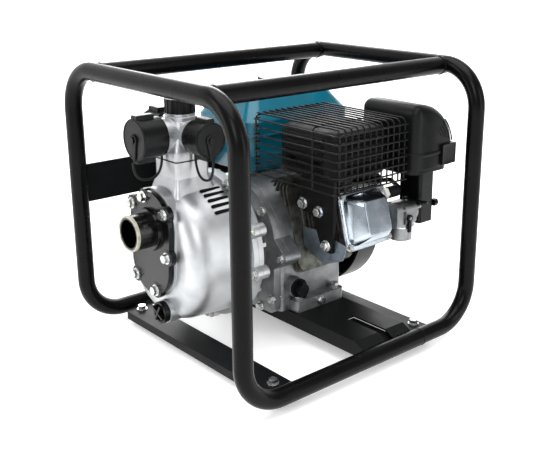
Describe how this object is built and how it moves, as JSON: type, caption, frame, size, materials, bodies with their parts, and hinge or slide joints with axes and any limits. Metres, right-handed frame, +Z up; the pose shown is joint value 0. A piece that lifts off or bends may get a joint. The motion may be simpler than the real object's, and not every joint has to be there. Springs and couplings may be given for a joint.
{
  "type": "engine driven water pump",
  "caption": "Portable petrol-engine water pump on two bent tubes: pump with bolted suction flange and capped outlets, engine with tank, caged muffler and air cleaner.",
  "frame": {"origin": "on the ground under the rubber feet, at the middle of the footprint", "axes": "+X along the crankshaft from the pump's suction side to the engine's fan end, +Y from the muffler side to the fuel tank side, +Z up"},
  "size_m": [0.4593, 0.4166, 0.4211],
  "materials": {
    "black_tube": "semi-gloss black powder coat",
    "rubber": "moulded black rubber",
    "zinc_steel": "bright zinc plate",
    "cast_aluminium": "satin die-cast",
    "engine_aluminium": "cast, dull",
    "cast_iron": "as cast",
    "steel": "ground",
    "black_cast": "gloss black paint on a casting",
    "black_plastic": "moulded, matt black",
    "black_housing": "black paint on pressed steel",
    "pressed_cover": "bright pressed steel",
    "heat_black": "heat-proof black paint",
    "guard_wire": "black coated wire",
    "galvanised": "galvanised sheet",
    "teal_tank": "gloss blue-green enamel",
    "ceramic": "white glazed ceramic"
  },
  "bodies": {
    "machine": {"air_cleaner_base": "black_plastic", "air_cleaner_cover": "black_plastic", "carburettor": "engine_aluminium", "connecting_rod": "engine_aluminium", "crankcase": "engine_aluminium", "crankcase_bolts": "zinc_steel", "crankcase_cover": "engine_aluminium", "cylinder_head": "engine_aluminium", "cylinder_shroud": "galvanised", "engine_base": "black_tube", "engine_foot_bolts": "zinc_steel", "exhaust_bracket": "heat_black", "fan_housing": "black_housing", "frame_back_plate": "black_tube", "frame_bolts": "zinc_steel", "frame_channel": "black_tube", "frame_hoop_engine": "black_tube", "frame_hoop_pump": "black_tube", "frame_rails": "black_tube", "fuel_tank": "teal_tank", "manifold_gasket": "rubber", "muffler": "heat_black", "muffler_guard": "guard_wire", "oil_drain_bolt": "zinc_steel", "outlet_manifold": "cast_aluminium", "piston": "engine_aluminium", "pump_bolts": "zinc_steel", "pump_casing": "cast_aluminium", "pump_rear_cover": "cast_aluminium", "pump_volute": "cast_iron", "recoil_cover": "black_housing", "rubber_feet": "rubber", "spark_plug": "ceramic", "spark_plug_lead": "rubber", "suction_bolts": "zinc_steel", "suction_flange": "black_cast", "tether_far": "rubber", "tether_large": "rubber", "tether_near": "rubber", "valve_cover": "pressed_cover", "valves": "steel"},
    "crank_train": {"crankshaft": "steel", "flywheel": "cast_iron", "impeller": "cast_iron", "shaft_seal": "zinc_steel"},
    "cam": {"camshaft": "cast_iron"},
    "check_valve": {"check_valve": "rubber"},
    "priming_cap": {"priming_cap": "black_plastic"},
    "outlet_cap_large": {"outlet_cap_large": "black_plastic"},
    "outlet_cap_near": {"outlet_cap_near": "black_plastic"},
    "outlet_cap_far": {"outlet_cap_far": "black_plastic"},
    "drain_plug": {"drain_plug": "black_plastic"},
    "fuel_cap": {"fuel_cap": "black_plastic"},
    "oil_filler_cap": {"oil_filler_cap": "black_plastic"},
    "recoil_handle": {"recoil_handle": "black_plastic"},
    "starter_pulley": {"starter_pulley": "black_plastic"},
    "throttle_lever": {"throttle_lever": "zinc_steel"},
    "choke_lever": {"choke_lever": "black_plastic"},
    "fuel_valve": {"fuel_valve": "black_plastic"},
    "engine_switch": {"engine_switch": "black_plastic"}
  },
  "joints": [
    {"name": "crank_spin", "type": "hinge", "parent": "machine", "child": "crank_train", "pos_m": [0, 0.058, 0.148], "axis": [1, 0, 0], "continuous": true},
    {"name": "cam_spin", "type": "hinge", "parent": "machine", "child": "cam", "pos_m": [0, 0.058, 0.088], "axis": [1, 0, 0], "continuous": true},
    {"name": "check_valve_swing", "type": "hinge", "parent": "machine", "child": "check_valve", "pos_m": [-0.1705, 0.058, 0.217], "axis": [0, -1, 0], "range_deg": [0, 40]},
    {"name": "priming_cap_turn", "type": "hinge", "parent": "machine", "child": "priming_cap", "pos_m": [-0.125, 0.058, 0.352], "axis": [0, 0, 1], "range_deg": [0, 90]},
    {"name": "large_cap_turn", "type": "hinge", "parent": "machine", "child": "outlet_cap_large", "pos_m": [-0.165, 0.058, 0.322], "axis": [-1, 0, 0], "range_deg": [0, 90]},
    {"name": "near_cap_turn", "type": "hinge", "parent": "machine", "child": "outlet_cap_near", "pos_m": [-0.125, 0.018, 0.322], "axis": [0, -1, 0], "range_deg": [0, 90]},
    {"name": "far_cap_turn", "type": "hinge", "parent": "machine", "child": "outlet_cap_far", "pos_m": [-0.125, 0.098, 0.322], "axis": [0, 1, 0], "range_deg": [0, 90]},
    {"name": "drain_plug_turn", "type": "hinge", "parent": "machine", "child": "drain_plug", "pos_m": [-0.187, 0.038, 0.07], "axis": [-1, 0, 0], "range_deg": [0, 90]},
    {"name": "fuel_cap_turn", "type": "hinge", "parent": "machine", "child": "fuel_cap", "pos_m": [0.092, 0.104, 0.36], "axis": [0, 0, 1], "range_deg": [0, 90]},
    {"name": "oil_filler_turn", "type": "hinge", "parent": "machine", "child": "oil_filler_cap", "pos_m": [0.006, -0.0444, 0.082], "axis": [0, -1, 0], "range_deg": [0, 90]},
    {"name": "recoil_pull", "type": "slide", "parent": "machine", "child": "recoil_handle", "axis": [0, 1, 0], "range_m": [0, 0.07], "stiffness_N_per_m": 60},
    {"name": "starter_pulley_turn", "type": "hinge", "parent": "machine", "child": "starter_pulley", "pos_m": [0.181, 0.058, 0.148], "axis": [1, 0, 0], "range_deg": [0, 80]},
    {"name": "throttle_swing", "type": "hinge", "parent": "machine", "child": "throttle_lever", "pos_m": [0.1736, -0.031, 0.1995], "axis": [1, 0, 0], "range_deg": [-18, 18]},
    {"name": "choke_swing", "type": "hinge", "parent": "machine", "child": "choke_lever", "pos_m": [0.174, -0.105, 0.2037], "axis": [0, 0, -1], "range_deg": [0, 55]},
    {"name": "fuel_valve_turn", "type": "hinge", "parent": "machine", "child": "fuel_valve", "pos_m": [0.156, -0.1285, 0.18], "axis": [0, -1, 0], "range_deg": [0, 90]},
    {"name": "switch_turn", "type": "hinge", "parent": "machine", "child": "engine_switch", "pos_m": [0.1706, -0.0415, 0.172], "axis": [1, 0, 0], "range_deg": [0, 90]}
  ],
  "couplings": [
    {"joint": "cam_spin", "follows": "crank_spin", "ratio": -0.5},
    {"joint": "starter_pulley_turn", "follows": "recoil_pull", "rad_per_m": 19.231}
  ]
}
